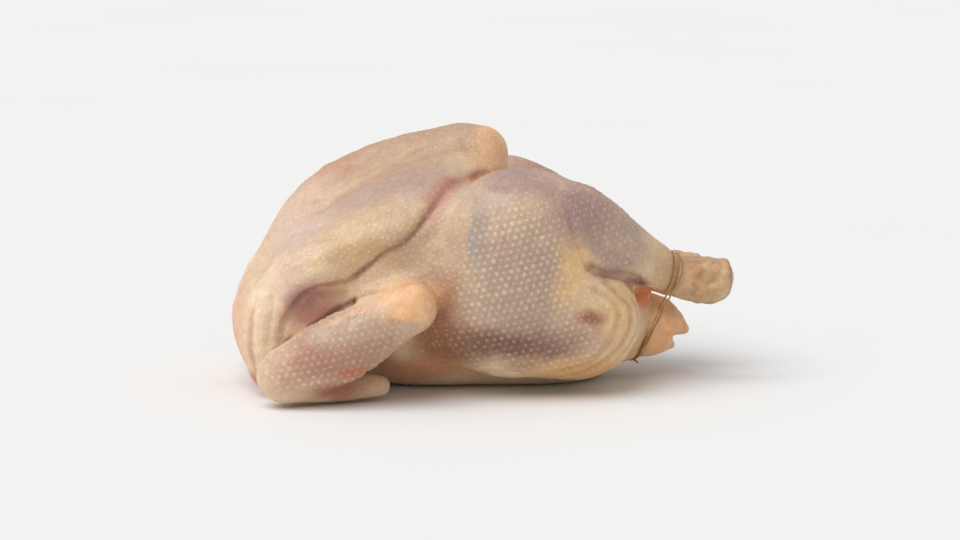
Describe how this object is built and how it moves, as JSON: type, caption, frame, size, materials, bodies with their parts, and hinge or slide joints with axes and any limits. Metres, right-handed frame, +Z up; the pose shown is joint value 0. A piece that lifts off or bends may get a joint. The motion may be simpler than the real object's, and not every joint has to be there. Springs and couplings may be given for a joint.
{
  "type": "whole raw chicken",
  "caption": "Whole raw chicken, plucked and drawn, lying on its back with folded wings and cut legs tied to the tail.",
  "frame": {"origin": "middle of the part's box, at the height of the flat of the back on which the bird lies", "axes": "+X towards the legs and tail, -X towards the neck, +Z up through the breast, +Y towards the bird's left side"},
  "size_m": [0.2722, 0.181, 0.1409],
  "materials": {
    "skin": "raw poultry skin, cream to pink and grey-mauve, moist, with raised feather follicles",
    "elastic": "thin amber elastic string, matte"
  },
  "bodies": {
    "root": {"chicken": "skin", "leg_tie": "elastic"}
  },
  "joints": []
}
